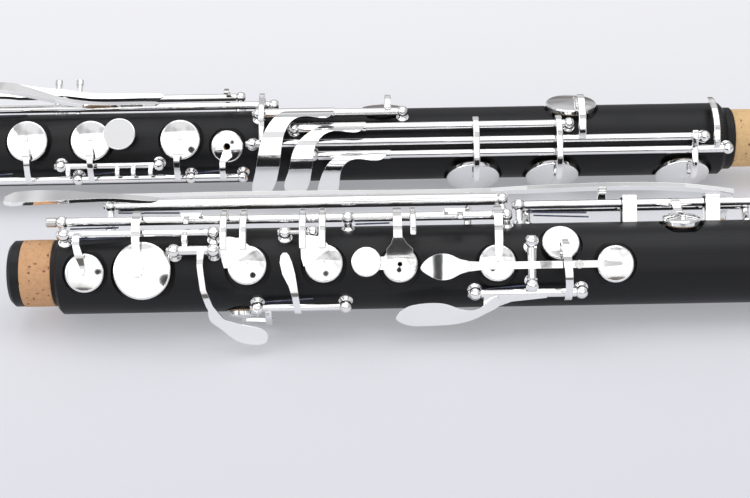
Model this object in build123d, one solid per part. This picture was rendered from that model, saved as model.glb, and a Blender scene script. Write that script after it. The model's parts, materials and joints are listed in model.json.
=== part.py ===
"""Two body joints of a bass clarinet, laid side by side with their keywork on.

Each joint is drawn in its own bench frame, with its centre line along X, the row of tone holes facing +Z and
+Y across it; X is 0 at the shoulder of the upper joint's tenon. LIE_ANGLE rolls both joints to the way they
lie, and the lower joint is moved back by JOINT_GAP. The part's own origin is on the upper joint's centre line,
in the middle of its tenon cork. Units are millimetres.
"""
from build123d import *
import math
import os

# ---- how the two joints lie
LIE_ANGLE = 60.0
JOINT_GAP = 124.0

# ---- bodies
BODY_R = 18.25
BORE_R = 11.8
TENON_R = 14.75
TENON_LENGTH = 21.4
CORK_START, CORK_END = 2.2, 16.0
CORK_DEPTH = 1.2
ORIGIN_SHIFT = (CORK_START + CORK_END) / 2
UPPER_LENGTH = 330.0
LOWER_START, LOWER_END = -98.0, 321.0
NECK_SOCKET_R, NECK_SOCKET_DEPTH = 13.0, 24.0
MIDDLE_SOCKET_R, MIDDLE_SOCKET_DEPTH = 14.85, 25.0
RING_R, RING_LENGTH = 19.6, 14.0

# ---- hinges: every key tube turns on a fixed steel rod held by ball posts
ROD_R = 1.1
BORE_CLEARANCE = 0.05
TUBE_R = 2.0
THIN_TUBE_R = 1.7
BALL_R = 2.9
BALL_FLAT = 2.4
STEM_R = 1.7
FOOT_R, FOOT_TOP, FOOT_BED = 3.1, 19.3, 17.2
END_GAP = 0.05
SEAM_TURN = 131.0
ARM_ROUND = 0.6

# ---- pad cups, pads and tone holes
CUP_WALL = 0.7
CUP_RIM = 2.4
CUP_DOME = 0.9
CUP_SHOULDER = 0.9
PAD_PROUD = 0.9
PAD_GAP = 0.03
RIM_WALL = 1.4
SPOT_DEPTH = 1.3
HOLE_SHARE = 0.62


def polar(radius, angle):
    """(y, z) at an angle from the tone-hole row; positive angles turn towards +Y."""
    turn = math.radians(angle)
    return radius * math.sin(turn), radius * math.cos(turn)


# ---- hinge lines, as (y, z) in the bench frame
STACK = (22.0, 10.6)
FRONT_STACK = (16.4, 17.0)
STOP_ROD = (15.8, 15.9)
CROSS = (8.8, 22.4)
G_SHARP = (-11.7, 19.3)
SLIVER = (-16.3, 15.6)
TRILL = (29.2, 0.0)
BACK_TRILL = polar(27.5, 115)
REGISTER = (26.4, -3.0)
A_PIVOT_X, A_PIVOT_Z = 204.5, 23.6
RH_STACK = (-16.3, 16.3)
BRIDGE = (-9.8, 19.9)
LINE_0 = (15.0, 17.6)
LINE_1 = (7.2, 21.9)
LINE_2 = (-0.4, 23.2)
LINE_3 = (-6.6, 22.3)
LEFT_HAND_1 = polar(22.4, 64)
LEFT_HAND_2 = polar(26.2, 100)


# ------------------------------------------------------------------ small shapes
def rod(x0, x1, line, radius):
    """A plain round bar along X."""
    return Pos((x0 + x1) / 2, *line) * Rot(SEAM_TURN, 0, 0) * Rot(0, 90, 0) * Cylinder(radius, x1 - x0)


def key(x0, x1, line, radius, *parts):
    """A key brazed up from its hinge tube and other parts, then bored to turn on its rod."""
    whole = rod(x0, x1, line, radius)
    for piece in parts:
        whole = whole + piece
    return whole - rod(x0 - 1, x1 + 1, line, ROD_R + BORE_CLEARANCE)


def rolled(shape, angle):
    """Turns a shape drawn at the tone-hole row round the joint's centre line."""
    return Rot(-angle, 0, 0) * shape


def outline(points, low=-60, high=60):
    """A prism through +Z on a smooth closed outline in X and Y."""
    edge = Spline(*[(x, y) for x, y in points], periodic=True)
    return Pos(0, 0, low) * extrude(make_face(edge), high - low)


def polygon(points, low=-60, high=60):
    """A prism through +Z on a straight-sided outline in X and Y."""
    edge = Polyline(*[(x, y) for x, y in points], close=True)
    return Pos(0, 0, low) * extrude(make_face(edge), high - low)


def side_band(x0, x1, path, thick):
    """A plate from x0 to x1 that follows a curved path of (y, z) points. thick is its depth at each end."""
    start, end = thick if isinstance(thick, tuple) else (thick, thick)
    upper, lower = [], []
    last = len(path) - 1
    for i, (y, z) in enumerate(path):
        before, after = path[max(i - 1, 0)], path[min(i + 1, last)]
        dy, dz = after[0] - before[0], after[1] - before[1]
        half = (start + (end - start) * i / last) / 2 / math.hypot(dy, dz)
        upper.append((y - dz * half, z + dy * half))
        lower.append((y + dz * half, z - dy * half))
    edges = [
        Spline(*upper),
        Line(upper[-1], lower[-1]),
        Spline(*lower[::-1]),
        Line(lower[0], upper[0]),
    ]
    return extrude(Plane.YZ.offset(x0) * make_face(edges), x1 - x0)


def arm(x, path, width=3.0, thick=2.2):
    """A key arm of even width, centred on x, with its edges rounded."""
    bar = side_band(x - width / 2, x + width / 2, path, thick)
    return fillet(bar.edges(), ARM_ROUND)


def wire(start, end, radius):
    """A straight wire between two points."""
    span = Vector(*end) - Vector(*start)
    return Plane(origin=start, z_dir=span) * Pos(0, 0, span.length / 2) * Cylinder(radius, span.length)


def tapered(plate, angle, stations):
    """Trims a plate to a plan seen at an angle: stations are (across, centre x, half width)."""
    left = [(x - half, across) for across, x, half in stations]
    right = [(x + half, across) for across, x, half in reversed(stations)]
    return plate & rolled(polygon(left + right), angle)


def strip(path, thick, stations, angle=0.0):
    """A long plate: path holds (x, height) points and stations (x, centre across, half width)."""
    near = [(x, across + half) for x, across, half in stations]
    far = [(x, across - half) for x, across, half in reversed(stations)]
    return rolled(long_band(-40, 40, path, thick) & polygon(near + far), angle)


def long_band(y0, y1, path, thick):
    """A plate from y0 to y1 that follows a curved path of (x, z) points."""
    start, end = thick if isinstance(thick, tuple) else (thick, thick)
    upper, lower = [], []
    last = len(path) - 1
    for i, (x, z) in enumerate(path):
        before, after = path[max(i - 1, 0)], path[min(i + 1, last)]
        dx, dz = after[0] - before[0], after[1] - before[1]
        half = (start + (end - start) * i / last) / 2 / math.hypot(dx, dz)
        upper.append((x - dz * half, z + dx * half))
        lower.append((x + dz * half, z - dx * half))
    edges = [
        Spline(*upper),
        Line(upper[-1], lower[-1]),
        Spline(*lower[::-1]),
        Line(lower[0], upper[0]),
    ]
    return extrude(Plane.XZ.offset(-y1) * make_face(edges), y1 - y0)


# ------------------------------------------------------------------ tone holes, cups, pads
class Hole:
    """One tone hole with the cup and pad that close it."""

    def __init__(self, x, angle, radius, seat, vent=0.0):
        self.x, self.angle, self.radius, self.seat, self.vent = x, angle, radius, seat, vent
        self.hole_r = radius * HOLE_SHARE

    def place(self, shape, level):
        return rolled(Pos(self.x, 0, level) * shape, self.angle)

    def drum(self, radius, low, high):
        return self.place(Cylinder(radius, high - low), (low + high) / 2)

    def top(self):
        """Height of the cup's crown above the joint's centre line."""
        return self.seat + PAD_GAP + PAD_PROUD + CUP_RIM + CUP_DOME

    def cup(self):
        r, wall, rim = self.radius, CUP_WALL, CUP_RIM
        roof, edge, crown = rim - wall, r - CUP_SHOULDER, rim + CUP_DOME
        dome_r = (edge**2 + CUP_DOME**2) / (2 * CUP_DOME)
        on_dome = (edge / 2, crown - dome_r + math.sqrt(dome_r**2 - edge**2 / 4))
        lean = CUP_SHOULDER * (1 - math.sqrt(0.5))
        edges = [
            Polyline((0, roof), (r - wall, roof), (r - wall, 0), (r, 0), (r, rim - CUP_SHOULDER)),
            ThreePointArc((r, rim - CUP_SHOULDER), (r - lean, rim - lean), (edge, rim)),
            ThreePointArc((edge, rim), on_dome, (0, crown)),
            Line((0, crown), (0, roof)),
        ]
        shell = Rot(0, 0, SEAM_TURN) * revolve(Plane.XZ * make_face(edges), Axis.Z)
        shell = self.place(shell, self.seat + PAD_GAP + PAD_PROUD)
        return shell - self.drum(self.vent, 0, 60) if self.vent else shell

    def pad(self):
        r, back = self.radius - CUP_WALL - 0.05, CUP_RIM - CUP_WALL - 0.05
        edges = [
            Polyline((0, -PAD_PROUD), (r - 0.8, -PAD_PROUD)),
            ThreePointArc((r - 0.8, -PAD_PROUD), (r - 0.23, -PAD_PROUD + 0.23), (r, -PAD_PROUD + 0.8)),
            Polyline((r, -PAD_PROUD + 0.8), (r, back), (0, back), (0, -PAD_PROUD)),
        ]
        disc = Rot(0, 0, SEAM_TURN) * revolve(Plane.XZ * make_face(edges), Axis.Z)
        disc = self.place(disc, self.seat + PAD_GAP + PAD_PROUD)
        return disc - self.drum(self.vent, 0, 60) if self.vent else disc


UPPER_HOLES = {
    "low_vent_key": Hole(13.7, 0, 8.4, 17.2),
    "c_sharp_key": Hole(38.5, -1, 12.4, 16.2),
    "left_ring_finger_key": Hole(83.3, 3.6, 8.5, 17.2),
    "left_middle_finger_key": Hole(116.0, 4.2, 8.3, 17.2),
    "left_index_key": Hole(148.5, 1.0, 7.7, 17.3, vent=1.05),
    "throat_vent_key": Hole(190.0, 1.0, 7.9, 17.3),
    "throat_a_key": Hole(240.6, 0.0, 8.0, 17.3),
    "throat_g_sharp_key": Hole(217.7, 28.5, 8.1, 17.3),
    "sliver_key": Hole(80.0, -86.0, 7.0, 17.3),
    "register_key": Hole(272.0, 74.0, 8.3, 17.3),
    "trill_key": Hole(180.0, 140.0, 6.6, 17.4),
    "back_trill_key": Hole(296.0, 150.0, 6.6, 17.4),
}
LOWER_HOLES = {
    "b_vent_key": Hole(-35.0, 10.0, 10.2, 16.8),
    "right_index_key": Hole(-3.2, 9.2, 10.1, 16.8),
    "right_middle_finger_key": Hole(41.5, 8.5, 10.0, 16.8),
    "right_ring_finger_key": Hole(65.0, -2.5, 8.0, 17.2, vent=1.7),
    "g_sharp_key": Hole(143.0, 74.0, 10.6, 16.6),
    "f_key_near": Hole(188.5, -70.0, 13.4, 15.4),
    "f_key_far": Hole(228.7, -70.0, 13.4, 15.4),
    "e_flat_key": Hole(239.0, 70.0, 12.8, 15.6),
    "e_key": Hole(295.0, -70.0, 13.6, 15.4),
    "low_d_key": Hole(290.0, 118.0, 12.0, 15.8),
}


# ------------------------------------------------------------------ posts and rods
def post(x, line, rod_r=ROD_R, ball_r=BALL_R):
    """A ball post: foot on the body, stem, and a drilled ball with two flats."""
    reach = math.hypot(*line)
    angle = math.degrees(math.atan2(line[0], line[1]))
    ball = Pos(x, 0, reach) * Sphere(ball_r) & Pos(x, 0, reach) * Box(2 * BALL_FLAT, 20, 20)
    stem = Pos(x, 0, (reach + FOOT_TOP) / 2) * Cylinder(STEM_R, reach - FOOT_TOP + 0.4)
    flare = Pos(x, 0, FOOT_TOP + 0.4) * Cone(FOOT_R - 0.3, STEM_R, 0.9)
    foot = Pos(x, 0, (FOOT_BED + FOOT_TOP) / 2) * Cylinder(FOOT_R, FOOT_TOP - FOOT_BED)
    whole = ball + stem + flare + foot
    return rolled(whole, angle) - rod(x - 9, x + 9, line, rod_r)


def post_bed(x, line):
    """The round hole in the body that a post's foot sits in."""
    angle = math.degrees(math.atan2(line[0], line[1]))
    return rolled(Pos(x, 0, FOOT_BED + 10) * Cylinder(FOOT_R, 20), angle)


def pivot_rod(x0, x1, line):
    """A hinge rod with a slotted head at its left end."""
    length, radius = (4.4, 2.1) if line == STACK else (0.9, 1.6)
    start = x0 - BALL_FLAT
    head = rod(start - length, start, line, radius)
    head = fillet(head.edges().group_by(Axis.X)[0], 0.6)
    slot = Pos(start - length, *line) * Box(0.9, 0.5, 6)
    return rod(start, x1 + BALL_FLAT, line, ROD_R) + head - slot


def needle_spring(x, line, length):
    """A blued needle spring, set in a post's stem and lying beside the key's tube."""
    angle, reach = math.degrees(math.atan2(*line)), math.hypot(*line) - SPRING_DROP
    start = (x + FOOT_R + 0.1, *polar(reach, angle))
    return wire(start, (x + length, *polar(reach - 0.3, angle + SPRING_SPLAY)), SPRING_R)


UPPER_POSTS = {
    STACK: (2.6, 126.5, 195.2),
    FRONT_STACK: (4.7, 68.9),
    STOP_ROD: (99.4, 111.3),
    CROSS: (52.4, 69.2),
    G_SHARP: (180.5, 226.0),
    SLIVER: (87.0, 125.0),
    TRILL: (22.0, 194.4),
    BACK_TRILL: (206.0, 304.0),
    REGISTER: (202.0, 310.0),
}
UPPER_SPRINGS = (
    (2.6, STACK, 24), (4.7, FRONT_STACK, 24), (126.5, STACK, 18), (52.4, CROSS, 12), (180.5, G_SHARP, 22),
    (87.0, SLIVER, 24), (22.0, TRILL, 30), (206.0, BACK_TRILL, 28), (202.0, REGISTER, 30),
)
SPRING_R = 0.35
SPRING_SPLAY = 4.0
SPRING_DROP = 3.3
LOWER_SPRINGS = (
    (-66.0, RH_STACK, 22), (-10.7, RH_STACK, 20), (46.0, RH_STACK, 16), (80.6, LINE_0, 26), (98.5, LINE_1, 26),
    (77.6, LINE_2, 26), (108.0, LINE_3, 26), (-64.0, LEFT_HAND_1, 26), (-22.0, LEFT_HAND_2, 26),
)
LOWER_POSTS = {
    RH_STACK: (-66.0, -10.7, 46.0, 72.2),
    BRIDGE: (-18.6, 30.5),
    LINE_0: (80.6, 153.0),
    LINE_1: (98.5, 236.0),
    LINE_2: (77.6, 303.3),
    LINE_3: (108.0, 315.0),
    LEFT_HAND_1: (-64.0, 88.0),
    LEFT_HAND_2: (-22.0, 70.0),
}
A_PIVOT_Y = (10.4, -8.4)


def between(x0, x1):
    """The span of a hinge tube that runs from one post to the next."""
    return x0 + BALL_FLAT + END_GAP, x1 - BALL_FLAT - END_GAP


def a_pivot_post(y):
    """One of the two posts that carry the throat A key's crosswise hinge."""
    reach = math.hypot(y, A_PIVOT_Z)
    angle = math.degrees(math.atan2(y, A_PIVOT_Z))
    stem = Pos(A_PIVOT_X, 0, (reach + FOOT_TOP) / 2) * Cylinder(STEM_R, reach - FOOT_TOP + 0.4)
    foot = Pos(A_PIVOT_X, 0, (FOOT_BED + FOOT_TOP) / 2) * Cylinder(FOOT_R - 0.3, FOOT_TOP - FOOT_BED)
    ball = Pos(A_PIVOT_X, y, A_PIVOT_Z) * (Sphere(BALL_R) & Box(20, 2 * BALL_FLAT, 20))
    hole = Pos(A_PIVOT_X, y, A_PIVOT_Z) * Rot(90, 0, 0) * Cylinder(ROD_R, 20)
    return rolled(stem + foot, angle) + ball - hole


def a_pivot_bed(y):
    angle = math.degrees(math.atan2(y, A_PIVOT_Z))
    return rolled(Pos(A_PIVOT_X, 0, FOOT_BED + 10) * Cylinder(FOOT_R - 0.3, 20), angle)


def guide_pin(x):
    """A tall capped pin that stands behind the left-hand levers."""
    pin = Pos(x, 0, 29.0) * Cylinder(1.6, 2 * (29.0 - FOOT_TOP)) + Pos(x, 0, 38.6) * Cylinder(2.1, 3.2)
    pin = fillet(pin.edges().group_by(Axis.Z)[-1], 0.8)
    return rolled(pin + Pos(x, 0, (FOOT_BED + FOOT_TOP) / 2) * Cylinder(FOOT_R, FOOT_TOP - FOOT_BED), PIN_ANGLE)


PIN_X = (-26.0, -15.0)
PIN_ANGLE = 112.0


def pin_beds():
    return [rolled(Pos(x, 0, FOOT_BED + 10) * Cylinder(FOOT_R, 20), PIN_ANGLE) for x in PIN_X]


def posts(table):
    return [post(x, line) for line, places in table.items() for x in places]


def rods(table):
    return [pivot_rod(places[0], places[-1], line) for line, places in table.items()]


# ------------------------------------------------------------------ bodies
def drilled(body, holes, beds):
    """Cuts each spot face, leaves a rim round each tone hole and drills it through to the bore."""
    for hole in holes:
        body = body - hole.drum(hole.radius + 1.4, hole.seat - SPOT_DEPTH, 40)
        body = body + hole.drum(hole.hole_r + RIM_WALL, BORE_R + 1.5, hole.seat)
        body = body - hole.drum(hole.hole_r, BORE_R - 4, 40)
    for bed in beds:
        body = body - bed
    return body


def beds(table):
    return [post_bed(x, line) for line, places in table.items() for x in places]


def revolved(points):
    """A solid of revolution about X from (x, radius) points."""
    face = make_face(Polyline(*points, close=True))
    return revolve(Plane.XY * face, Axis.X)


def upper_body():
    profile = [
        (-TENON_LENGTH, BORE_R),
        (-TENON_LENGTH, TENON_R - 1.8),
        (-TENON_LENGTH + 1.6, TENON_R - 0.2),
        (-CORK_END, TENON_R - 0.2),
        (-CORK_END, TENON_R - CORK_DEPTH),
        (-CORK_START, TENON_R - CORK_DEPTH),
        (-CORK_START, TENON_R - 0.2),
        (0, TENON_R - 0.2),
        (0, BODY_R - 1.2),
        (1.2, BODY_R),
        (UPPER_LENGTH - RING_LENGTH, BODY_R),
        (UPPER_LENGTH - RING_LENGTH, RING_R - 2.2),
        (UPPER_LENGTH, RING_R - 2.2),
        (UPPER_LENGTH, NECK_SOCKET_R),
        (UPPER_LENGTH - NECK_SOCKET_DEPTH, NECK_SOCKET_R),
        (UPPER_LENGTH - NECK_SOCKET_DEPTH, BORE_R),
    ]
    feet = beds(UPPER_POSTS) + [a_pivot_bed(y) for y in A_PIVOT_Y] + guide_beds()
    return drilled(revolved(profile), list(UPPER_HOLES.values()), feet)


def lower_body():
    end, start = LOWER_END, LOWER_START
    profile = [
        (start, MIDDLE_SOCKET_R),
        (start, RING_R - 2.2),
        (start + RING_LENGTH, RING_R - 2.2),
        (start + RING_LENGTH, BODY_R),
        (end - 6.5, BODY_R),
        (end - 4.0, TENON_R + 1.0),
        (end - 0.6, TENON_R + 1.0),
        (end, TENON_R + 0.4),
        (end, TENON_R - CORK_DEPTH),
        (end + CORK_END, TENON_R - CORK_DEPTH),
        (end + CORK_END, TENON_R - 0.2),
        (end + TENON_LENGTH - 1.6, TENON_R - 0.2),
        (end + TENON_LENGTH, TENON_R - 1.8),
        (end + TENON_LENGTH, BORE_R),
        (start + MIDDLE_SOCKET_DEPTH, BORE_R),
        (start + MIDDLE_SOCKET_DEPTH, MIDDLE_SOCKET_R),
    ]
    return drilled(revolved(profile), list(LOWER_HOLES.values()), beds(LOWER_POSTS) + pin_beds())


def cork(x0, x1):
    """A cork sleeve in its groove."""
    return rod(x0, x1, (0, 0), TENON_R) - rod(x0 - 1, x1 + 1, (0, 0), TENON_R - CORK_DEPTH)


def ring(x0, x1, step):
    """A metal socket band with a rolled bead at its outer end, step being the way that end faces."""
    band = rod(x0, x1, (0, 0), RING_R) - rod(x0 - 1, x1 + 1, (0, 0), RING_R - 2.2)
    bead_x = x1 - 1.6 if step > 0 else x0 + 1.6
    bead = Pos(bead_x, 0, 0) * Rot(0, 90, 0) * Torus(RING_R - 0.2, 1.1)
    return band + (bead - rod(x0 - 2, x1 + 2, (0, 0), RING_R - 1))


# ------------------------------------------------------------------ guides over the register rod
GUIDE_X = (250.4, 287.0)
GUIDE_WIDTH = 6.2
GUIDE_TOP = 30.4


def guide(x):
    """A bent strap that stands on the body and bridges the register key's rod."""
    outer = guide_block(x, 0.0)
    outer = fillet(outer.edges().filter_by(Axis.X).group_by(Axis.Y)[-1], 2.2)
    return outer - guide_block(x, 1.4) - rod(x - 9, x + 9, (0, 0), BODY_R - 0.6)


def guide_block(x, inset):
    """The block a guide is bent round, inset by the strap's thickness."""
    tall, deep = GUIDE_TOP - 12.0, 8.6
    return Pos(x, 12.0 + (tall - inset) / 2, REGISTER[1]) * Box(GUIDE_WIDTH + inset, tall - inset, deep - 2 * inset)


def guide_beds():
    """Shallow pockets that the guides' feet stand in."""
    hollow = rod(0, 400, (0, 0), BODY_R - 0.6)
    return [guide_block(x, 0.0) - guide_block(x, 1.4) - hollow for x in GUIDE_X]


# ------------------------------------------------------------------ upper joint keys, drawn closed
def above(hole, across=0.0, rise=0.4):
    """(y, z) of a point over a cup's crown, across being measured towards +Y."""
    turn, height = math.radians(hole.angle), hole.top() + rise
    return height * math.sin(turn) + across * math.cos(turn), height * math.cos(turn) - across * math.sin(turn)


def low_vent_key():
    hole = UPPER_HOLES["low_vent_key"]
    path = [(16.4, 18.0), (14.6, 21.6), (9.0, 23.0), (3.5, 22.0), (-1.0, 21.6)]
    spine = tapered(arm(12.4, path, 8.0, (2.4, 1.6)), 0, [
        (19, 10.8, 1.3), (12, 11.0, 1.5), (7.5, 12.2, 1.8), (3, 13.3, 1.2), (-1.5, 13.7, 0.4),
    ])
    x0, x1 = between(4.7, 68.9)
    lug = arm(LEVER_HEEL_X, [(16.2, 18.4), (14.6, 20.9), (12.2, 21.9)], 2.6, 1.5)
    return key(x0, x1, FRONT_STACK, THIN_TUBE_R, spine, lug, hole.cup())


LEVER_HEEL_X = 56.8


# the arms of the main stack begin beyond its tube and wrap over it
OVER_STACK = [(24.3, 9.0), (25.0, 12.9)]


def c_sharp_key():
    hole = UPPER_HOLES["c_sharp_key"]
    path = OVER_STACK + [(23.2, 17.2), (18.8, 21.0), (12.0, 22.5), (5.0, 21.4), (-3.4, 20.8)]
    bar = tapered(arm(36.8, path, 6.0, 2.2), 0, [
        (28, 36.0, 1.8), (0, 36.8, 1.7), (-2.6, 37.0, 1.5), (-3.4, 37.0, 0.8),
    ])
    return key(STACK_X[0], STACK_X[1], STACK, TUBE_R, bar, clutch_lug(57.2), hole.cup())


def clutch_lug(x):
    """The lug by which one key of the stack is carried along by its neighbour."""
    return arm(x, [(22.8, 12.2), (22.0, 15.8), (19.8, 18.4)], 2.6, 1.6)


def clutch_finger(x, step):
    """The neighbour's finger, lying against that lug."""
    bar = Pos(x + step * 3.6, 23.4, 18.2) * Box(8.4, 1.5, 2.0)
    return arm(x, [(23.0, 12.2), (24.2, 15.4), (23.4, 18.6)], 2.4, 1.6) + bar


STACK_X = (between(2.6, 126.5)[0], 60.0, 100.0, between(2.6, 126.5)[1])
TOP_STACK_X = (between(126.5, 195.2)[0], 172.0, between(126.5, 195.2)[1])


def fork_key(hole, x0, x1, left, right, *extra):
    """A finger plate carried by two arms with a web between them."""
    path = OVER_STACK + [(23.0, 17.0), (17.6, 20.4), (11.6, 21.0), (7.6, 21.2)]
    web = rolled(polygon([
        (left - 1.0, 12), (left - 0.6, 2), (left + 0.4, -1.5), (left + 2.0, -1.5), (hole.x - 2, 3),
        (hole.x + 3.0, 6.4), (right + 1.0, 9.6), (right + 0.6, 12), (right - 2.6, 11.4), (left + 3.0, 12),
    ], hole.top() - 0.8, hole.top() + 0.5), hole.angle)
    arms = [arm(x, path, 3.0, 2.2) for x in (left, right)]
    return key(x0, x1, STACK, TUBE_R, web, hole.cup(), *arms, *extra)


def left_ring_finger_key():
    hole = UPPER_HOLES["left_ring_finger_key"]
    return fork_key(hole, STACK_X[1] + 0.1, STACK_X[2], 73.4, 81.8, clutch_finger(63.0, -1))


def left_middle_finger_key():
    hole = UPPER_HOLES["left_middle_finger_key"]
    return fork_key(hole, STACK_X[2] + 0.1, STACK_X[3], 107.2, 115.6)


def left_index_key():
    """The half-hole plate with its roll-off disc."""
    hole = UPPER_HOLES["left_index_key"]
    path = OVER_STACK + [(22.8, 17.4), (17.0, 21.6), (9.0, 21.8), (4.0, 21.4)]
    fan = tapered(side_band(138, 159, path, 1.8), 0, [
        (28, 147.6, 1.8), (12, 147.8, 1.9), (9.0, 148.2, 3.4), (6.8, 148.5, 5.6), (4, 148.5, 5.6),
    ])
    side = arm(154.4, OVER_STACK + [(22.6, 17.4), (17.0, 21.0), (12.6, 21.6)], 2.6, 1.8)
    disc = Pos(134.2, 1.6, hole.top() - 0.7) * Cylinder(6.4, 1.7)
    disc = fillet(disc.edges(), 0.5)
    neck = Pos(140.4, 0.9, hole.top() - 0.9) * Box(5.4, 5.6, 1.2)
    finger = clutch_finger(169.0, 1)
    whole = key(TOP_STACK_X[0], TOP_STACK_X[1], STACK, TUBE_R, fan, side, disc, neck, finger, hole.cup())
    return whole - hole.drum(hole.vent, 0, 60)


def throat_vent_key():
    hole = UPPER_HOLES["throat_vent_key"]
    path = OVER_STACK + [(22.8, 17.4), (16.4, 21.8), (8.0, 22.2), (2.0, 21.6)]
    bar = tapered(arm(190.6, path, 6.0, (2.2, 1.6)), 0, [
        (28, 190.9, 1.8), (5, 190.6, 1.7), (3.2, 190.6, 1.2), (2.4, 190.6, 0.6),
    ])
    return key(TOP_STACK_X[1] + 0.1, TOP_STACK_X[2], STACK, TUBE_R, bar, clutch_lug(174.8), hole.cup())


def c_sharp_lever():
    """The little-finger lever whose heel lifts the low vent key by its lug."""
    path = [(8.8, 24.0), (4.0, 26.6), (-4.0, 27.4), (-12.0, 26.2), (-20.0, 22.6)]
    shank = tapered(side_band(58, 76, path, (2.2, 2.0)), 0, [
        (12.5, 64.2, 1.5), (2, 64.0, 1.25), (-8, 65.2, 1.25), (-15, 67.6, 1.5), (-21, 71.4, 2.2),
    ])
    leaf = outline([
        (67.8, -14.6), (71.8, -19.6), (78.0, -22.4), (86.0, -24.2), (91.4, -27.0), (91.0, -30.6),
        (85.6, -32.0), (77.4, -29.6), (70.6, -24.0), (66.8, -18.0),
    ])
    sheet = side_band(64, 96, [(-12.0, 26.0), (-20.0, 22.4), (-27.0, 19.4), (-35.0, 17.2)], 1.8)
    heel = arm(LEVER_HEEL_X, [(9.4, 21.4), (11.8, 20.3), (13.8, 19.3)], 2.6, 1.5)
    x0, x1 = between(52.4, 69.2)
    return key(x0, x1, CROSS, TUBE_R, shank, sheet & leaf, heel)


def throat_a_key():
    """The long lever over the throat holes, hinged crosswise."""
    hole = UPPER_HOLES["throat_a_key"]
    near, far = A_PIVOT_Y[1] + BALL_FLAT + 0.5, A_PIVOT_Y[0] - BALL_FLAT - 0.5
    turn = Pos(A_PIVOT_X, (near + far) / 2, A_PIVOT_Z) * Rot(90, 0, 0)
    path = [(170.0, 28.4), (184.0, 27.0), (204.5, 25.6), (222.0, 26.4), (233.0, 24.4), (243.0, 21.8)]
    bar = strip(path, 2.0, [
        (172, 0.1, 2.5), (177, 0.1, 2.2), (184, 0.2, 1.6), (232, 0.2, 1.5), (242, 0.2, 0.8), (243, 0.0, 0.3),
    ])
    leaf = outline([
        (157.2, 0.4), (160.0, 3.6), (164.6, 5.5), (170.0, 5.0), (174.5, 3.0), (178.5, 1.4),
        (178.5, -1.0), (174.5, -2.8), (170.0, -4.9), (164.6, -5.3), (160.0, -3.2),
    ])
    sheet = long_band(-8, 8, [(155.0, 27.4), (162.0, 28.6), (170.0, 28.7), (180.0, 27.4)], 1.9)
    whole = turn * Cylinder(2.0, far - near) + bar + (sheet & leaf) + hole.cup()
    whole = whole - turn * Cylinder(ROD_R + BORE_CLEARANCE, far - near + 2)
    return whole - Pos(A_SCREW_X, 0.2, 25) * Cylinder(A_SCREW_R + 0.02, 20)


A_SCREW_X, A_SCREW_R = 224.0, 1.25


def a_adjusting_screw():
    """The slotted screw set through the throat A key's bar."""
    head = Pos(A_SCREW_X, 0.2, 27.9) * Cylinder(1.8, 1.0)
    slot = Pos(A_SCREW_X, 0.2, 28.3) * Box(5, 0.45, 0.5)
    return head + Pos(A_SCREW_X, 0.2, 25.9) * Cylinder(A_SCREW_R, 3.6) - slot


def throat_g_sharp_key():
    """Side lever with a leaf touch, a long tube and an arm that bridges the A key."""
    hole = UPPER_HOLES["throat_g_sharp_key"]
    path = [(-12.4, 20.4), (-13.4, 26.0), (-8.0, 30.4), (0.5, 31.4), (7.6, 28.2), above(hole, 0, -0.3)]
    bridge = tapered(arm(218.6, path, 8.0, (2.4, 1.8)), 10, [
        (-24, 219.2, 1.4), (-14, 219.4, 1.6), (-4, 218.8, 1.7), (4, 218.6, 1.6), (12, 218.0, 0.8),
    ])
    plate = side_band(184, 211, [(-12.0, 20.4), (-15.4, 18.4), (-18.4, 15.4)], 1.8)
    plate = plate & polygon([(184, -10), (212, -10), (211, -14.0), (196, -15.4), (190, -17.6), (184, -19)])
    leaf = outline([
        (146.6, -21.0), (150.0, -17.6), (158.0, -15.6), (168.0, -16.0), (176.0, -18.6), (181.0, -18.4),
        (185.6, -15.4), (190.0, -13.4), (191.0, -15.8), (187.0, -19.4), (180.0, -22.8), (170.0, -25.0),
        (158.0, -25.4), (149.5, -24.2),
    ])
    sheet = side_band(144, 193, [(-11.0, 20.9), (-17.0, 19.0), (-22.0, 16.8), (-28.0, 13.4)], 1.9)
    x0, x1 = between(180.5, 226.0)
    return key(x0, x1, G_SHARP, TUBE_R, bridge, plate, sheet & leaf, hole.cup())


def sliver_key():
    """The slim key between the second and third finger plates."""
    hole = UPPER_HOLES["sliver_key"]
    path = [(-17.4, 16.6), (-17.6, 21.2), (-11.0, 24.8), (-4.0, 25.6), (3.0, 25.0), (8.0, 24.4)]
    blade = tapered(side_band(94, 110, path, (2.2, 1.8)), 0, [
        (-20, 105.0, 1.5), (-12, 104.0, 1.4), (-7, 103.0, 1.8), (-2, 101.4, 2.7), (3, 100.2, 2.6),
        (6, 99.8, 1.8), (7.2, 99.8, 0.8),
    ])
    drop = arm(91.6, [(-17.4, 14.8), (-21.8, 11.0), (-23.4, 5.0), (-22.4, -1.0)], 3.0, 1.9)
    tail = strip([(79, 21.9), (84, 22.0), (92, 22.6)], 1.7, [(79, 0, 0.8), (81, 0, 1.8), (92, 0.0, 1.6)], -89)
    x0, x1 = between(87.0, 125.0)
    return key(x0, x1, SLIVER, THIN_TUBE_R, blade, drop, tail, hole.cup())


def register_key():
    """The octave vent, on a long rod that runs under two guides."""
    hole = UPPER_HOLES["register_key"]
    path = [above(hole, 10.2, 4.2), above(hole, 6.6, 3.4), above(hole, 3, 1.2), above(hole, -1, 0.4), above(hole, -4.5, 0.2)]
    top = tapered(arm(270.0, path, 6.0, (2.2, 1.6)), 74, [
        (-5, 272, 0.6), (-3, 272, 1.4), (2, 271, 2.0), (16, 270, 2.0),
    ])
    x0, x1 = between(202.0, 310.0)
    return key(x0, x1, REGISTER, 1.9, top, hole.cup())


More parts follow.
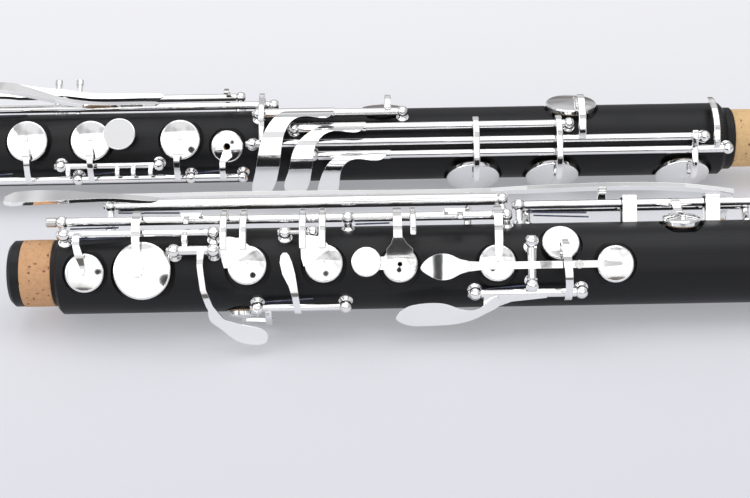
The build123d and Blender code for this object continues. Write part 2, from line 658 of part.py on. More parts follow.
def trill_key():
    """The near trill key: a stout tube, a cup behind it, and a touch reaching over the tenon."""
    hole = UPPER_HOLES["trill_key"]
    path = [(30.4, -1.2), (28.6, -7.6), (23.4, -14.6), above(hole)]
    back = arm(180.0, path, 3.6, 2.0)
    touch = strip([(-25, 33.6), (-12, 35.2), (2, 35.0), (14, 34.2), (24, 33.8), (34, 32.6), (44, 31.4)], 1.9, [
        (-24, -0.8, 1.8), (-20, -0.8, 3.8), (-10, -0.8, 4.0), (0, -0.6, 3.6), (8, 0.0, 2.8), (18, 0, 1.8),
        (40, 0, 1.5), (43, 0, 0.8),
    ], 90)
    touch = opened(touch, TRILL, TRILL_TOUCH_TURN)
    x0, x1 = between(22.0, 194.4)
    return key(x0, x1, TRILL, 2.8, back, touch, hole.cup())


TRILL_TOUCH_TURN = 42.0


def back_trill_key():
    """The far trill key: a flat lever along the whole joint to a short tube near the top."""
    hole = UPPER_HOLES["back_trill_key"]
    lever = strip([(-26, 33.0), (-13, 34.8), (0, 35.2), (14, 34.6), (60, 34.4), (200, 34.2), (280, 33.8), (300, 31.2)],
                  1.9, [
        (-25, 1.6, 1.6), (-20, 1.2, 3.8), (-10, 1.2, 4.0), (0, 0.8, 3.8), (10, 0.2, 2.6), (22, 0, 2.0),
        (190, 0, 2.0), (206, -0.4, 3.2), (276, -0.4, 3.2), (298, 0, 2.2),
    ], BACK_LEVER_ANGLE)
    path = [polar(34.0, BACK_LEVER_ANGLE), (29.4, -12.0), (25.2, -12.6)]
    hook = arm(240.0, path, 4.0, 2.2)
    cup_path = [(25.2, -12.4), (22.4, -17.6), (17.0, -21.0), above(hole, 0, -0.2)]
    x0, x1 = between(206.0, 304.0)
    return key(x0, x1, BACK_TRILL, TUBE_R, lever, hook, arm(296.0, cup_path, 3.4, 2.0), hole.cup())


BACK_LEVER_ANGLE = 104.0


# ------------------------------------------------------------------ lower joint keys, drawn closed
def stem_plate(hole, foot_x, x0, x1, flare):
    """A finger plate or vent cup on a stem that rises from the stack and flares over the cup's lower edge."""
    edge = above(hole, -hole.radius * 0.62)[0]
    path = [(-16.9, 17.6), (-16.4, 21.6), (-12.0, 24.8), above(hole, -7, 3.4), above(hole, -2), above(hole, 2.5)]
    stem = tapered(arm(foot_x, path, 2 * hole.radius, (2.4, 1.7)), 0, [
        (-22, foot_x, 1.7), (-12, foot_x, 1.4), (edge - 2.6, foot_x, 1.5), (edge, hole.x, flare),
        (edge + 2.4, hole.x, flare * 0.72), (edge + 6, hole.x, 1.0), (edge + 8, hole.x, 0.4),
    ])
    return key(x0, x1, RH_STACK, TUBE_R, stem, hole.cup())


RH_X = (between(-66.0, -10.7)[0], between(-66.0, -10.7)[1], between(-10.7, 46.0)[0], 20.0,
        between(-10.7, 46.0)[1], between(46.0, 72.2)[0], between(46.0, 72.2)[1])


def b_vent_key():
    return stem_plate(LOWER_HOLES["b_vent_key"], -34.0, RH_X[0], RH_X[1], 1.9)


def right_index_key():
    """First-finger plate with the touch disc that overlaps its right edge."""
    hole = LOWER_HOLES["right_index_key"]
    plate = stem_plate(hole, -2.6, RH_X[2], RH_X[3], 1.9)
    disc = rolled(Pos(11.3, 0, hole.top() + 0.1) * Cylinder(8.1, 1.7), 17)
    disc = fillet(disc.edges(), 0.5)
    return plate + disc


def right_middle_finger_key():
    return stem_plate(LOWER_HOLES["right_middle_finger_key"], 40.4, RH_X[3] + 0.1, RH_X[4], 3.8)


def right_ring_finger_key():
    hole = LOWER_HOLES["right_ring_finger_key"]
    return stem_plate(hole, 63.0, RH_X[5], RH_X[6], 2.8) - hole.drum(hole.vent, 0, 60)


def bridge_key():
    """The slim linking tube in front of the finger plates, with its four small arms."""
    x0, x1 = between(-18.6, 30.5)
    lugs = [arm(x, [(-10.2, 20.7), (-11.8, 21.9), (-15.4, 22.0)], 2.4, 1.5) for x in (-14.6, 10.0, 18.0, 26.6)]
    return key(x0, x1, BRIDGE, 1.5, *lugs)


def down_arm(x, line, hole, width=3.2):
    """A stout arm from a long tube, over the tubes beside it, to a big cup below."""
    if line == LINE_1:
        start = [(10.0, 20.6), (9.8, 23.6), (6.4, 26.6), (-0.4, 28.2), (-7.0, 27.8), (-14.0, 25.6)]
    else:
        start = [(1.8, 27.4), (-2.4, 27.1), (-6.6, 24.9), (-12.0, 24.4)]
    landing = [above(hole, 8.5, 4.6), above(hole, 4.5, 1.8), above(hole, 0, 0.6), above(hole, -4.5, 0.4)]
    return arm(x, start + landing, width, (2.6, 2.2))


def bumper(touch, x, angle, low):
    """A cork block glued under a touch, shaped to it."""
    block = rolled(Pos(x, 0, low + 4) * Cylinder(2.4, 8), angle)
    pieces = (block - touch).solids()
    return pieces.sort_by(lambda piece: piece.center().Z**2 + piece.center().Y**2)[0]


def a_flat_touch():
    path = [(15.0, 18.6), (13.4, 24.4), (7.0, 29.0), (-2.0, 30.6), (-11.0, 28.8), (-18.0, 25.0), (-26.0, 18.8)]
    plan = outline([
        (112.0, 17.6), (98.0, 17.2), (91.6, 14.4), (87.0, 9.4), (83.4, 2.4), (80.8, -8.0), (78.4, -18.0),
        (77.6, -24.6), (81.0, -27.0), (86.4, -24.6), (90.0, -18.0), (92.2, -7.6), (94.0, 3.0), (98.6, 10.8),
        (106.0, 12.6), (117.6, 13.2), (118.6, 15.6),
    ])
    return side_band(70, 120, path, 2.0) & plan


def a_flat_key():
    hole = LOWER_HOLES["g_sharp_key"]
    path = [(15.6, 18.8), (19.6, 18.4), (22.7, 13.6), above(hole, -4, 1.6), above(hole, 1.5), above(hole, 5, 0.3)]
    rise = arm(145.6, path, 3.4, (2.4, 1.8))
    sleeve = rod(83.1, 118.8, LINE_0, 2.6)
    x0, x1 = between(80.6, 153.0)
    return key(x0, x1, LINE_0, TUBE_R, sleeve, a_flat_touch(), rise, hole.cup())


def f_touch():
    path = [(7.2, 23.0), (4.6, 26.8), (-3.0, 29.4), (-11.0, 28.2), (-18.0, 24.2), (-26.0, 16.6)]
    plan = outline([
        (126.0, 8.8), (113.0, 7.8), (105.6, 3.3), (101.0, -1.4), (98.0, -7.0), (95.6, -16.0), (93.6, -23.2),
        (97.0, -26.0), (103.6, -24.6), (107.0, -17.0), (108.2, -10.0), (109.4, -3.6), (112.6, 1.4),
        (119.0, 4.4), (133.0, 5.6), (133.6, 8.2),
    ])
    return side_band(90, 136, path, 2.0) & plan


def f_key():
    near, far = LOWER_HOLES["f_key_near"], LOWER_HOLES["f_key_far"]
    sleeve = rod(101.0, 134.5, LINE_1, 2.5)
    x0, x1 = between(98.5, 236.0)
    arms = [down_arm(189.2, LINE_1, near), down_arm(230.4, LINE_1, far)]
    return key(x0, x1, LINE_1, TUBE_R, sleeve, f_touch(), near.cup(), far.cup(), *arms)


def f_sharp_key():
    hole = LOWER_HOLES["e_flat_key"]
    path = [(-0.2, 24.6), (5.0, 27.0), (13.0, 25.4), (20.6, 18.4), above(hole, -2), above(hole, 3)]
    x0, x1 = between(77.6, 303.3)
    foot = arm(82.6, [(0.0, 24.4), (5.5, 25.0), (11.4, 23.6)], 2.8, 1.7)
    return key(x0, x1, LINE_2, TUBE_R, arm(242.0, path, 3.8, (2.4, 2.0)), foot, hole.cup())


def e_key():
    hole = LOWER_HOLES["e_key"]
    path = [(-6.6, 23.8), (-11.0, 26.0), (-17.6, 22.8), (-26.4, 14.6)]
    plan = outline([
        (132.0, -6.2), (121.6, -7.2), (116.8, -10.3), (113.4, -14.6), (111.0, -19.7), (110.0, -25.2),
        (114.0, -27.2), (119.4, -25.0), (121.2, -18.0), (123.2, -12.8), (129.0, -9.6), (143.4, -8.8), (144.6, -6.6),
    ])
    sleeve = rod(110.5, 146.5, LINE_3, 2.4)
    touch = side_band(106, 146, path, 2.0) & plan
    stop = arm(309.0, [(-6.4, 24.0), (-1.0, 26.6), (8.0, 25.6), (16.0, 20.6), (20.4, 13.8)], 3.2, (2.4, 2.0))
    x0, x1 = between(108.0, 315.0)
    return key(x0, x1, LINE_3, TUBE_R, sleeve, touch, stop, down_arm(298.0, LINE_3, hole), hole.cup())


def left_hand_lever(line, x0, x1, rise, turn, reach, end_x):
    """A long left-hand lever: tube, spatula at the left and a short arm that works a key at the right."""
    radius = math.hypot(*line)
    x0, x1 = between(x0, x1)
    path = [(-58, radius + 0.95 * rise), (-46, radius + rise), (-34, radius + 0.75 * rise),
            (-20, radius + 4.6), (-8, radius + 2.2), (0, radius + 1.6), (30, radius + 1.2)]
    spatula = strip(path, 2.0, [
        (-57, -1, 2.0), (-53, -1, 4.2), (-43, -1, 4.6), (-34, -0.6, 3.6), (-22, 0, 2.2), (0, 0, 1.8),
        (28, 0, 1.6), (30, 0, 0.8),
    ], math.degrees(math.atan2(*line)))
    return key(x0, x1, line, TUBE_R, opened(spatula, line, turn), arm(end_x, reach, 3.0, 2.0))


def left_f_sharp_lever():
    reach = [(21.3, 11.0), (24.6, 15.4), (20.4, 21.6), (14.8, 25.9), (10.6, 27.2)]
    return left_hand_lever(LEFT_HAND_1, -64.0, 88.0, 12.4, 6.0, reach, 82.6)


def left_e_lever():
    reach = [(26.4, -3.0), (28.6, 5.0), (26.0, 13.4)]
    return left_hand_lever(LEFT_HAND_2, -22.0, 70.0, 8.0, 62.0, reach, 64.0)


# ------------------------------------------------------------------ assembly
def opened(shape, line, degrees):
    """Swings a finished key about its hinge."""
    return Pos(0, *line) * Rot(degrees, 0, 0) * Pos(0, -line[0], -line[1]) * shape


# how far each open-standing key rests from closed, with its hinge line
RESTS = {
    "c_sharp_key": (STACK, -5.5),
    "left_ring_finger_key": (STACK, -5.5),
    "left_middle_finger_key": (STACK, -5.5),
    "left_index_key": (STACK, -5.5),
    "throat_vent_key": (STACK, -5.5),
    "b_vent_key": (RH_STACK, 6.0),
    "right_index_key": (RH_STACK, 6.0),
    "right_middle_finger_key": (RH_STACK, 6.0),
    "right_ring_finger_key": (RH_STACK, 6.0),
    "f_key": (LINE_1, -5.0),
    "f_sharp_key": (LINE_2, 4.5),
    "e_key": (LINE_3, -6.0),
}
UPPER_KEYS = (
    low_vent_key, c_sharp_key, left_ring_finger_key, left_middle_finger_key, left_index_key,
    throat_vent_key, c_sharp_lever, throat_a_key, throat_g_sharp_key, sliver_key, register_key,
    trill_key, back_trill_key,
)
LOWER_KEYS = (
    b_vent_key, right_index_key, right_middle_finger_key, right_ring_finger_key, bridge_key,
    a_flat_key, f_key, f_sharp_key, e_key, left_f_sharp_lever, left_e_lever,
)
PADS = {
    "a_flat_key": ("g_sharp_key",),
    "f_key": ("f_key_near", "f_key_far"),
    "f_sharp_key": ("e_flat_key",),
}


def keywork(builders, holes):
    """Every key of a joint and its pads, each as it stands at rest."""
    pieces = {}
    for builder in builders:
        name = builder.__name__
        line, degrees = RESTS.get(name, (STACK, 0.0))
        pieces[name] = opened(builder(), line, degrees)
        own = PADS.get(name, (name,) if name in holes else ())
        if own:
            pads = [holes[hole].pad() for hole in own]
            pieces[name.replace("_key", "_pad")] = opened(Compound(children=pads), line, degrees)
    return pieces


def upper_joint():
    pieces = {
        "upper_body": upper_body(),
        "upper_tenon_cork": cork(-CORK_END, -CORK_START),
        "upper_socket_ring": ring(UPPER_LENGTH - RING_LENGTH, UPPER_LENGTH, 1),
        "upper_posts": Compound(children=posts(UPPER_POSTS) + [a_pivot_post(y) for y in A_PIVOT_Y]),
        "upper_hinge_rods": Compound(children=rods(UPPER_POSTS) + [a_pivot_rod()]),
        "upper_springs": Compound(children=[needle_spring(*spring) for spring in UPPER_SPRINGS]),
        "register_guides": Compound(children=[guide(x) for x in GUIDE_X]),
        "a_adjusting_screw": a_adjusting_screw(),
    }
    return pieces | keywork(UPPER_KEYS, UPPER_HOLES)


def a_pivot_rod():
    span = A_PIVOT_Y[0] - A_PIVOT_Y[1] + 2 * BALL_FLAT
    middle = (A_PIVOT_Y[0] + A_PIVOT_Y[1]) / 2
    return Pos(A_PIVOT_X, middle, A_PIVOT_Z) * Rot(90, 0, 0) * Cylinder(ROD_R, span)


def lower_joint():
    pieces = {
        "lower_body": lower_body(),
        "lower_tenon_cork": cork(LOWER_END, LOWER_END + CORK_END),
        "lower_socket_ring": ring(LOWER_START, LOWER_START + RING_LENGTH, -1),
        "lower_posts": Compound(children=posts(LOWER_POSTS) + [guide_pin(x) for x in PIN_X]),
        "lower_hinge_rods": Compound(children=rods(LOWER_POSTS)),
        "lower_springs": Compound(children=[needle_spring(*spring) for spring in LOWER_SPRINGS]),
        "a_flat_bumper": bumper(a_flat_touch(), 83.6, -41, 24.0),
        "f_bumper": opened(bumper(f_touch(), 103.2, -42, 22.6), *RESTS["f_key"]),
    }
    return pieces | keywork(LOWER_KEYS, LOWER_HOLES)


def laid_down(shape, back=0.0):
    """Moves a piece from its joint's bench frame to where it lies."""
    return Pos(ORIGIN_SHIFT, back, 0) * Rot(LIE_ANGLE, 0, 0) * shape


def build():
    os.makedirs("parts", exist_ok=True)
    pieces = {name: laid_down(shape) for name, shape in upper_joint().items()}
    pieces |= {name: laid_down(shape, JOINT_GAP) for name, shape in lower_joint().items()}
    for name, shape in pieces.items():
        export_step(shape, f"parts/{name}.step")


if __name__ == "__main__":
    build()
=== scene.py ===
"""Two body joints of a bass clarinet: the finish of every piece, the soft pieces, the studio and the camera."""
import bpy
import json
import math
import random
import numpy as np
from mathutils import Matrix, Vector


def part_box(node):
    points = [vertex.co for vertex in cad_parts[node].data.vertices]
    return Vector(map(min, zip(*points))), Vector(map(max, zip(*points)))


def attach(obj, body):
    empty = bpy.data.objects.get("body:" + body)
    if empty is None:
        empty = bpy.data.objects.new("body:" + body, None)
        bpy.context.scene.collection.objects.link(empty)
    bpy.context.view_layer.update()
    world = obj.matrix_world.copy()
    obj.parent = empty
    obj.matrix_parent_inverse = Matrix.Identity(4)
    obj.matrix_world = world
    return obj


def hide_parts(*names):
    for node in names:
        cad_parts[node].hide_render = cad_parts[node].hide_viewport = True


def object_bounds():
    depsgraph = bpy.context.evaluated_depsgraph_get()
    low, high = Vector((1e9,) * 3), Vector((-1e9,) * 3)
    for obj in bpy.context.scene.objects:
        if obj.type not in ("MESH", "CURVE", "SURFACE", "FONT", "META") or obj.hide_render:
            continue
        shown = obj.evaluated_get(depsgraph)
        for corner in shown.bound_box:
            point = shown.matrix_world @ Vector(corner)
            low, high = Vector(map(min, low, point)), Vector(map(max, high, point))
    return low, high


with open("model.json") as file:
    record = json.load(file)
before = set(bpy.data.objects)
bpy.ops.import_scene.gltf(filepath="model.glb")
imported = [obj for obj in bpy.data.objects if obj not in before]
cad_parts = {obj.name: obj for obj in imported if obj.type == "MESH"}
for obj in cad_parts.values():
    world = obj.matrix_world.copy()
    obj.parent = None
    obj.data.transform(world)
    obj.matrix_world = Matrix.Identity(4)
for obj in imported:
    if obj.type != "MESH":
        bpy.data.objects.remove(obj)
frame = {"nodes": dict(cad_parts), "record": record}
cad_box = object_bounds()

MM = 0.001
CORK_DEPTH = 1.2
CORK_PITS = 46
PAD_SEAT_SHARE = 0.66
CAMERA_PLACE = (0.1471, -0.5493, 0.3265)
CAMERA_LENS = 69.6
CAMERA_ELEVATION, CAMERA_ROLL = math.radians(30), math.radians(-1.0)
STUDIO_AIM = (0.16, 0.05, 0)
SLOTS = {piece["node"]: piece["material_slot"] for piece in frame["record"]["subparts"]}
MOUNTS = {mount["name"]: mount for mount in frame["record"]["mounts"]}


# ------------------------------------------------------------------ node helpers
def new_material(name):
    """A node material with its tree cleared down to one Principled shader."""
    material = bpy.data.materials.new(name)
    material.use_nodes = True
    tree = material.node_tree
    tree.nodes.clear()
    out = tree.nodes.new("ShaderNodeOutputMaterial")
    shader = tree.nodes.new("ShaderNodeBsdfPrincipled")
    tree.links.new(shader.outputs[0], out.inputs[0])
    return material, tree, shader


def coordinates(tree, scale=(1, 1, 1)):
    """Object coordinates, in metres, stretched by scale."""
    place = tree.nodes.new("ShaderNodeTexCoord")
    stretch = tree.nodes.new("ShaderNodeMapping")
    stretch.inputs["Scale"].default_value = scale
    tree.links.new(place.outputs["Object"], stretch.inputs["Vector"])
    return stretch.outputs[0]


def noise(tree, where, scale, detail=4.0, rough=0.55):
    node = tree.nodes.new("ShaderNodeTexNoise")
    node.inputs["Scale"].default_value = scale
    node.inputs["Detail"].default_value = detail
    node.inputs["Roughness"].default_value = rough
    tree.links.new(where, node.inputs["Vector"])
    return node.outputs["Fac"]


def ramp(tree, value, stops):
    """A colour ramp; stops are (position, colour) with grey numbers allowed as colours."""
    node = tree.nodes.new("ShaderNodeValToRGB")
    while len(node.color_ramp.elements) < len(stops):
        node.color_ramp.elements.new(0.5)
    for element, (position, colour) in zip(node.color_ramp.elements, stops):
        element.position = position
        grey = isinstance(colour, (int, float))
        element.color = (colour, colour, colour, 1) if grey else (*colour, 1)
    tree.links.new(value, node.inputs["Fac"])
    return node.outputs["Color"]


def blended(tree, share, low, high, mode="MIX"):
    """Mixes two colours, each a socket or a tuple, by share, a socket or a number."""
    mix = tree.nodes.new("ShaderNodeMix")
    mix.data_type = "RGBA"
    mix.blend_type = mode
    for socket, value in ((mix.inputs[0], share), (mix.inputs[6], low), (mix.inputs[7], high)):
        if isinstance(value, (int, float)):
            socket.default_value = value
        elif isinstance(value, tuple):
            socket.default_value = (*value, 1)
        else:
            tree.links.new(value, socket)
    return mix.outputs[2]


def bump(tree, shader, height, strength, distance, edge_mm=0.0):
    """Surface relief; edge_mm softens the sharp edges of machined pieces."""
    node = tree.nodes.new("ShaderNodeBump")
    node.inputs["Strength"].default_value = strength
    node.inputs["Distance"].default_value = distance
    tree.links.new(height, node.inputs["Height"])
    if edge_mm:
        soft = tree.nodes.new("ShaderNodeBevel")
        soft.samples = 4
        soft.inputs["Radius"].default_value = edge_mm * MM
        tree.links.new(soft.outputs[0], node.inputs["Normal"])
    tree.links.new(node.outputs[0], shader.inputs["Normal"])


# ------------------------------------------------------------------ materials
def silver_plate():
    """Bright silver plate with polishing haze, faint ripples and a warm tarnish in patches."""
    material, tree, shader = new_material("silver_plate")
    where = coordinates(tree)
    haze = noise(tree, where, 55.0, 6.0)
    tarnish = ramp(tree, noise(tree, where, 21.0, 3.0), [(0.55, 0.0), (0.80, 0.35)])
    bright = ramp(tree, haze, [(0.3, (0.94, 0.94, 0.94)), (0.7, (0.975, 0.975, 0.97))])
    tree.links.new(blended(tree, tarnish, bright, (0.86, 0.82, 0.75)), shader.inputs["Base Color"])
    shader.inputs["Metallic"].default_value = 1.0
    tree.links.new(ramp(tree, haze, [(0.35, 0.045), (0.75, 0.11)]), shader.inputs["Roughness"])
    bump(tree, shader, noise(tree, where, 150.0, 3.0), 0.05, 0.0002, 0.22)
    return material


def hinge_steel():
    """Hinge steel, a little darker and duller than the plate, with turning marks."""
    material, tree, shader = new_material("hinge_steel")
    grain = noise(tree, coordinates(tree, (2600, 60, 60)), 1.0, 3.0)
    shader.inputs["Metallic"].default_value = 1.0
    tree.links.new(ramp(tree, grain, [(0.3, (0.58, 0.57, 0.56)), (0.7, (0.72, 0.71, 0.69))]),
                   shader.inputs["Base Color"])
    tree.links.new(ramp(tree, grain, [(0.3, 0.16), (0.7, 0.28)]), shader.inputs["Roughness"])
    bump(tree, shader, grain, 0.08, 0.0001, 0.1)
    return material


def blued_steel():
    """Needle springs, heat-blued and slightly streaked."""
    material, tree, shader = new_material("blued_steel")
    streak = noise(tree, coordinates(tree, (180, 900, 900)), 1.0, 4.0)
    shader.inputs["Metallic"].default_value = 1.0
    tree.links.new(ramp(tree, streak, [(0.3, (0.06, 0.08, 0.16)), (0.7, (0.20, 0.20, 0.26))]),
                   shader.inputs["Base Color"])
    tree.links.new(ramp(tree, streak, [(0.3, 0.2), (0.7, 0.34)]), shader.inputs["Roughness"])
    bump(tree, shader, streak, 0.1, 0.0001)
    return material


def ebonite():
    """Matt black body with fine lengthwise brushing, a soft sheen and cloudy handling marks."""
    material, tree, shader = new_material("ebonite")
    grain = noise(tree, coordinates(tree, (16, 2400, 2400)), 1.0, 5.0, 0.65)
    cloud = noise(tree, coordinates(tree), 26.0, 5.0)
    tree.links.new(ramp(tree, grain, [(0.3, (0.004, 0.0042, 0.005)), (0.75, (0.010, 0.0105, 0.0125))]),
                   shader.inputs["Base Color"])
    tree.links.new(ramp(tree, cloud, [(0.3, 0.34), (0.7, 0.48)]), shader.inputs["Roughness"])
    shader.inputs["Specular IOR Level"].default_value = 0.28
    bump(tree, shader, grain, 0.16, 0.0001, 0.35)
    return material


def cork_finish(name, light, dark):
    """Natural cork: tan, mottled, with darker pits where the mesh is pitted."""
    material, tree, shader = new_material(name)
    where = coordinates(tree)
    mottle = noise(tree, where, 480.0, 8.0, 0.68)
    pale = tuple(min(1.0, 1.16 * c) for c in light)
    base = ramp(tree, mottle, [(0.25, dark), (0.45, light), (0.8, pale)])
    fleck = ramp(tree, noise(tree, where, 1500.0, 3.0), [(0.34, 0.6), (0.42, 1.0)])
    base = blended(tree, 0.45, base, fleck, "MULTIPLY")
    pit = tree.nodes.new("ShaderNodeAttribute")
    pit.attribute_name = "pit"
    colour = blended(tree, pit.outputs["Fac"], base, (0.10, 0.045, 0.022))
    tree.links.new(colour, shader.inputs["Base Color"])
    shader.inputs["Roughness"].default_value = 0.84
    shader.inputs["Specular IOR Level"].default_value = 0.25
    bump(tree, shader, mottle, 0.45, 0.0003)
    return material


def pad_skin():
    """Pad skin: pale tan, slightly shiny, with a fine wrinkle."""
    material, tree, shader = new_material("pad_skin")
    wrinkle = noise(tree, coordinates(tree), 700.0, 5.0)
    tree.links.new(ramp(tree, wrinkle, [(0.3, (0.46, 0.30, 0.16)), (0.7, (0.66, 0.48, 0.29))]),
                   shader.inputs["Base Color"])
    tree.links.new(ramp(tree, wrinkle, [(0.3, 0.42), (0.7, 0.6)]), shader.inputs["Roughness"])
    bump(tree, shader, wrinkle, 0.25, 0.0002)
    return material


FINISH = {
    "silver_plate": silver_plate(),
    "steel": hinge_steel(),
    "body": ebonite(),
    "cork": cork_finish("cork_front", (0.58, 0.335, 0.18), (0.46, 0.235, 0.11)),
    "pad": pad_skin(),
}
BLUED = blued_steel()
REAR_CORK = cork_finish("cork_rear", (0.70, 0.47, 0.24), (0.54, 0.33, 0.14))
BUMPER_CORK = cork_finish("cork_bumper", (0.70, 0.33, 0.10), (0.50, 0.20, 0.05))


def finish_nodes():
    """Gives every CAD node the finish of its material slot."""
    for name, node in frame["nodes"].items():
        node.data.materials.clear()
        node.data.materials.append(BLUED if name.endswith("_springs") else FINISH[SLOTS[name]])


# ------------------------------------------------------------------ soft pieces
def mesh_piece(name, points, faces, material, body, slot, *nodes, smooth=True):
    """A new piece from points and faces that stands for CAD nodes and rides on their body."""
    mesh = bpy.data.meshes.new(name)
    mesh.from_pydata([tuple(p) for p in points], [], faces)
    mesh.polygons.foreach_set("use_smooth", [smooth] * len(mesh.polygons))
    mesh.materials.append(material)
    piece = bpy.data.objects.new(name, mesh)
    bpy.context.scene.collection.objects.link(piece)
    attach(piece, body)
    if nodes:
        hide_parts(*nodes)
    return piece


def turned(profile, steps):
    """Rings of (along, radius) turned round the first axis: the points and quads of a closed shape."""
    turn = np.linspace(0, 2 * math.pi, steps, endpoint=False)
    along, radius = np.array(profile, float).T
    points = np.stack([
        np.repeat(along, steps),
        np.outer(radius, np.cos(turn)).ravel(),
        np.outer(radius, np.sin(turn)).ravel(),
    ], axis=1)
    faces = []
    rings = len(profile)
    for i in range(rings):
        here, after = i * steps, (i + 1) % rings * steps
        for j in range(steps):
            k = (j + 1) % steps
            faces.append((here + j, here + k, after + k, after + j))
    return points, faces


def node_points(name):
    return np.array([v.co for v in frame["nodes"][name].data.vertices], float)


def pitted(points, outward, pits, depth, seed):
    """Sinks small oblong pits into points; returns them and how deep in a pit each one is."""
    picker = random.Random(seed)
    share = np.zeros(len(points))
    for _ in range(pits):
        centre = points[picker.randrange(len(points))]
        length, width = picker.uniform(0.3, 0.85) * MM, picker.uniform(0.2, 0.42) * MM
        spin = picker.uniform(0, math.pi)
        offset = points - centre
        across = np.hypot(offset[:, 1], offset[:, 2])
        u = offset[:, 0] * math.cos(spin) + across * math.sin(spin)
        v = -offset[:, 0] * math.sin(spin) + across * math.cos(spin)
        share = np.maximum(share, np.clip(1.4 - np.sqrt((u / length) ** 2 + (v / width) ** 2), 0, 1))
    return points - outward * (share * depth)[:, None], share


def cork_sleeve(node, body, material, mount, seed):
    """A tenon cork: worn round at both ends, with a glued seam and open pores."""
    low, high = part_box(node)
    x0, x1 = low.x / MM, high.x / MM
    outer = MOUNTS[mount]["dims"]["r_mm"]
    inner, length = outer - CORK_DEPTH, x1 - x0
    profile = [(x0, inner), (x0, outer - 0.55), (x0 + 0.12, outer - 0.22)]
    for step in range(61):
        share = step / 60
        crown = 0.05 * math.cos(math.pi * (share - 0.5))
        profile.append((x0 + 0.35 + (length - 0.7) * share, outer - 0.05 + crown))
    profile += [(x1 - 0.12, outer - 0.22), (x1, outer - 0.55), (x1, inner)]
    points, faces = turned([(a * MM, r * MM) for a, r in profile], 300)
    axis_y = (low.y + high.y) / 2
    outward = points * (0, 1, 1)
    outward /= np.linalg.norm(outward, axis=1)[:, None]
    points, share = pitted(points, outward, CORK_PITS, 0.35 * MM, seed)
    seam = np.abs(outward[:, 1] * 0.35 - outward[:, 2] * 0.94 + 0.012 * np.sin(points[:, 0] * 900))
    seam = np.where(outward[:, 1] < 0, np.clip(1 - seam / 0.012, 0, 1) * 0.55, 0.0)
    points = points - outward * (seam * 0.12 * MM)[:, None]
    points[:, 1] += axis_y
    piece = mesh_piece(node + "_pored", points, faces, material, body, "cork", node)
    pit = piece.data.attributes.new("pit", "FLOAT", "POINT")
    pit.data.foreach_set("value", np.maximum(share, seam).astype(np.float32))


def pad_discs(node):
    """The separate discs of a pad node, as groups of its points."""
    points = node_points(node)
    points = points[np.argsort(points[:, 0])]
    gaps = np.flatnonzero(np.diff(points[:, 0]) > 8 * MM) + 1
    return np.split(points, gaps)


def dressed_pad(node, body, centre_line_y):
    """Each pad of a node: a soft disc, crowned, gathered at its edge and dented by the tone hole's rim."""
    discs = pad_discs(node)
    for number, points in enumerate(discs):
        middle = (points.min(axis=0) + points.max(axis=0)) / 2
        spread = points - points.mean(axis=0)
        away = np.linalg.eigh(spread.T @ spread)[1][:, 0]
        if away @ (middle - (middle[0], centre_line_y, 0)) < 0:
            away = -away
        along = (points - middle) @ away
        back, front = along.max(), along.min()
        flat = (points - middle) - np.outer(along, away)
        from_axis = np.linalg.norm(flat, axis=1)
        radius, vent = from_axis.max(), max(from_axis.min(), 0.1 * MM)
        seat = radius * PAD_SEAT_SHARE
        profile = [
            (back, vent), (back, radius - 0.2 * MM), (back - 0.25 * MM, radius), (0.0, radius),
            (front + 0.55 * MM, radius - 0.02 * MM), (front + 0.2 * MM, radius - 0.22 * MM),
            (front + 0.02 * MM, radius - 0.75 * MM), (front + 0.03 * MM, seat + 0.9 * MM),
            (front + 0.22 * MM, seat), (front + 0.04 * MM, seat - 0.9 * MM), (front, seat * 0.5),
            (front, vent),
        ]
        shape, faces = turned(profile, 96)
        turn = np.arctan2(shape[:, 2], shape[:, 1])
        gather = 1 + 0.006 * np.sin(turn * 31) * (np.hypot(shape[:, 1], shape[:, 2]) > radius * 0.93)
        side = np.cross(away, (1.0, 0.0, 0.0))
        side /= np.linalg.norm(side)
        other = np.cross(away, side)
        placed = middle + np.outer(shape[:, 0], away)
        placed += np.outer(shape[:, 1] * gather, side) + np.outer(shape[:, 2] * gather, other)
        name = node + "_skin" + (str(number + 1) if len(discs) > 1 else "")
        mesh_piece(name, placed, faces, FINISH["pad"], body, "pad", node)


def cork_block(node, body):
    """A bumper: the CAD block again with its cut edges rounded."""
    source = frame["nodes"][node].data.copy()
    piece = bpy.data.objects.new(node + "_cut", source)
    bpy.context.scene.collection.objects.link(piece)
    source.materials.clear()
    source.materials.append(BUMPER_CORK)
    weld = piece.modifiers.new("weld", "WELD")
    weld.merge_threshold = 0.00001
    round_off = piece.modifiers.new("round", "REMESH")
    round_off.mode = "VOXEL"
    round_off.voxel_size = 0.22 * MM
    round_off.use_smooth_shade = True
    soften = piece.modifiers.new("soften", "SMOOTH")
    soften.iterations = 3
    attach(piece, body)
    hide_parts(node)


def body_of(node):
    for name, nodes in frame["record"]["behaviour"]["bodies"].items():
        if node in nodes:
            return name
    raise KeyError(node)


def soft_pieces():
    cork_sleeve("upper_tenon_cork", "upper_joint", FINISH["cork"], "middle_tenon", 7)
    cork_sleeve("lower_tenon_cork", "lower_joint", REAR_CORK, "bell_tenon", 11)
    gap = MOUNTS["bell_tenon"]["pos_m"][1]
    for node in sorted(frame["nodes"]):
        if node.endswith("_pad"):
            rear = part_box(node)[0].y > gap / 2
            dressed_pad(node, body_of(node), gap if rear else 0.0)
        if node.endswith("_bumper"):
            cork_block(node, body_of(node))


finish_nodes()
soft_pieces()


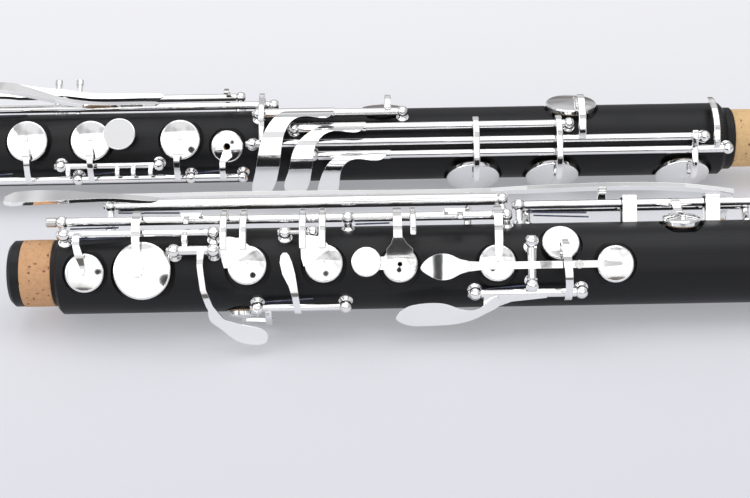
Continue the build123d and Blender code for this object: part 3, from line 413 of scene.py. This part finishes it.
# ------------------------------------------------------------------ studio
def floor_with_painted_light():
    """Paper floor painted white at the back and falling off to a cool grey in front, a painted light falloff;
    it also glows, painted light that lifts the shadows under the joints.
    """
    material, tree, shader = new_material("floor_with_painted_light")
    split = tree.nodes.new("ShaderNodeSeparateXYZ")
    tree.links.new(coordinates(tree, (1, 1.6, 1)), split.inputs[0])
    depth = tree.nodes.new("ShaderNodeMath")
    depth.operation = "ADD"
    depth.inputs[1].default_value = 2.75
    tree.links.new(split.outputs["Y"], depth.inputs[0])
    # painted light: the floor's colour is lighter at the back and darker in front, where the lamps fall off
    tree.links.new(ramp(tree, depth.outputs[0], [(0.0, (0.39, 0.395, 0.43)), (1.0, (0.58, 0.58, 0.595))]),
                   shader.inputs["Base Color"])
    shader.inputs["Roughness"].default_value = 0.6
    shader.inputs["Specular IOR Level"].default_value = 0.2
    # painted light: the floor glows though it is no lamp, lifting the shadows under the joints
    shader.inputs["Emission Color"].default_value = (0.94, 0.95, 1.0, 1)
    shader.inputs["Emission Strength"].default_value = 0.29
    return material


def floor():
    low = cad_box[0][2]
    bpy.ops.mesh.primitive_plane_add(size=8, location=(0.16, 1.5, low))
    plane = bpy.context.object
    plane.name = "floor"
    plane.data.materials.append(floor_with_painted_light())


def softbox(name, place, size, power):
    light = bpy.data.lights.new(name, "AREA")
    light.shape = "RECTANGLE"
    light.size, light.size_y = size
    light.energy = power
    lamp = bpy.data.objects.new(name, light)
    aim = (Vector(STUDIO_AIM) - Vector(place)).to_track_quat("-Z", "Y")
    lamp.matrix_world = Matrix.Translation(place) @ aim.to_matrix().to_4x4()
    bpy.context.scene.collection.objects.link(lamp)


def tent():
    """A white light tent: brighter overhead, a little warmer and greyer low down."""
    world = bpy.data.worlds.new("studio")
    world.use_nodes = True
    tree = world.node_tree
    place = tree.nodes.new("ShaderNodeTexCoord")
    split = tree.nodes.new("ShaderNodeSeparateXYZ")
    tree.links.new(place.outputs["Generated"], split.inputs[0])
    height = ramp(tree, split.outputs["Z"], [
        (0.0, (0.34, 0.31, 0.29)), (0.10, (0.30, 0.28, 0.27)),
        (0.24, (0.80, 0.80, 0.82)), (0.70, (1.0, 1.0, 1.02)),
    ])
    folds = ramp(tree, noise(tree, place.outputs["Generated"], 2.6, 2.0), [(0.32, 0.34), (0.58, 1.0)])
    back = tree.nodes["Background"]
    tree.links.new(blended(tree, 1.0, height, folds, "MULTIPLY"), back.inputs["Color"])
    back.inputs["Strength"].default_value = 0.84
    bpy.context.scene.world = world


def camera():
    forward = Vector((0, math.cos(CAMERA_ELEVATION), -math.sin(CAMERA_ELEVATION)))
    right = Vector((1, 0, 0))
    up = right.cross(forward)
    basis = Matrix((right, up, -forward)).transposed()
    data = bpy.data.cameras.new("camera")
    data.lens = CAMERA_LENS
    data.sensor_width = 36
    data.clip_start = 0.05
    view = bpy.data.objects.new("camera", data)
    turned_eye = basis.to_4x4() @ Matrix.Rotation(CAMERA_ROLL, 4, "Z")
    view.matrix_world = Matrix.Translation(CAMERA_PLACE) @ turned_eye
    bpy.context.scene.collection.objects.link(view)
    bpy.context.scene.camera = view


def camera_shade():
    """The dark lens and body behind the view, seen only as a small reflection in the cups."""
    behind = Vector(CAMERA_PLACE) + Vector((0, -0.03, 0.02))
    bpy.ops.mesh.primitive_circle_add(vertices=48, radius=0.055, fill_type="NGON", location=behind)
    disc = bpy.context.object
    disc.name = "camera_shade"
    disc.rotation_euler = (math.radians(60), 0, 0)
    material, tree, shader = new_material("dark_shade")
    shader.inputs["Base Color"].default_value = (0.01, 0.01, 0.01, 1)
    disc.data.materials.append(material)


floor()
camera_shade()
softbox("top_box", (0.16, 0.1, 1.3), (1.6, 1.2), 8)
softbox("front_box", (0.16, -1.3, 0.75), (2.4, 1.3), 6)
softbox("left_box", (-1.1, -0.5, 0.8), (0.9, 0.9), 5)
tent()
camera()
bpy.context.scene.view_settings.view_transform = "Standard"
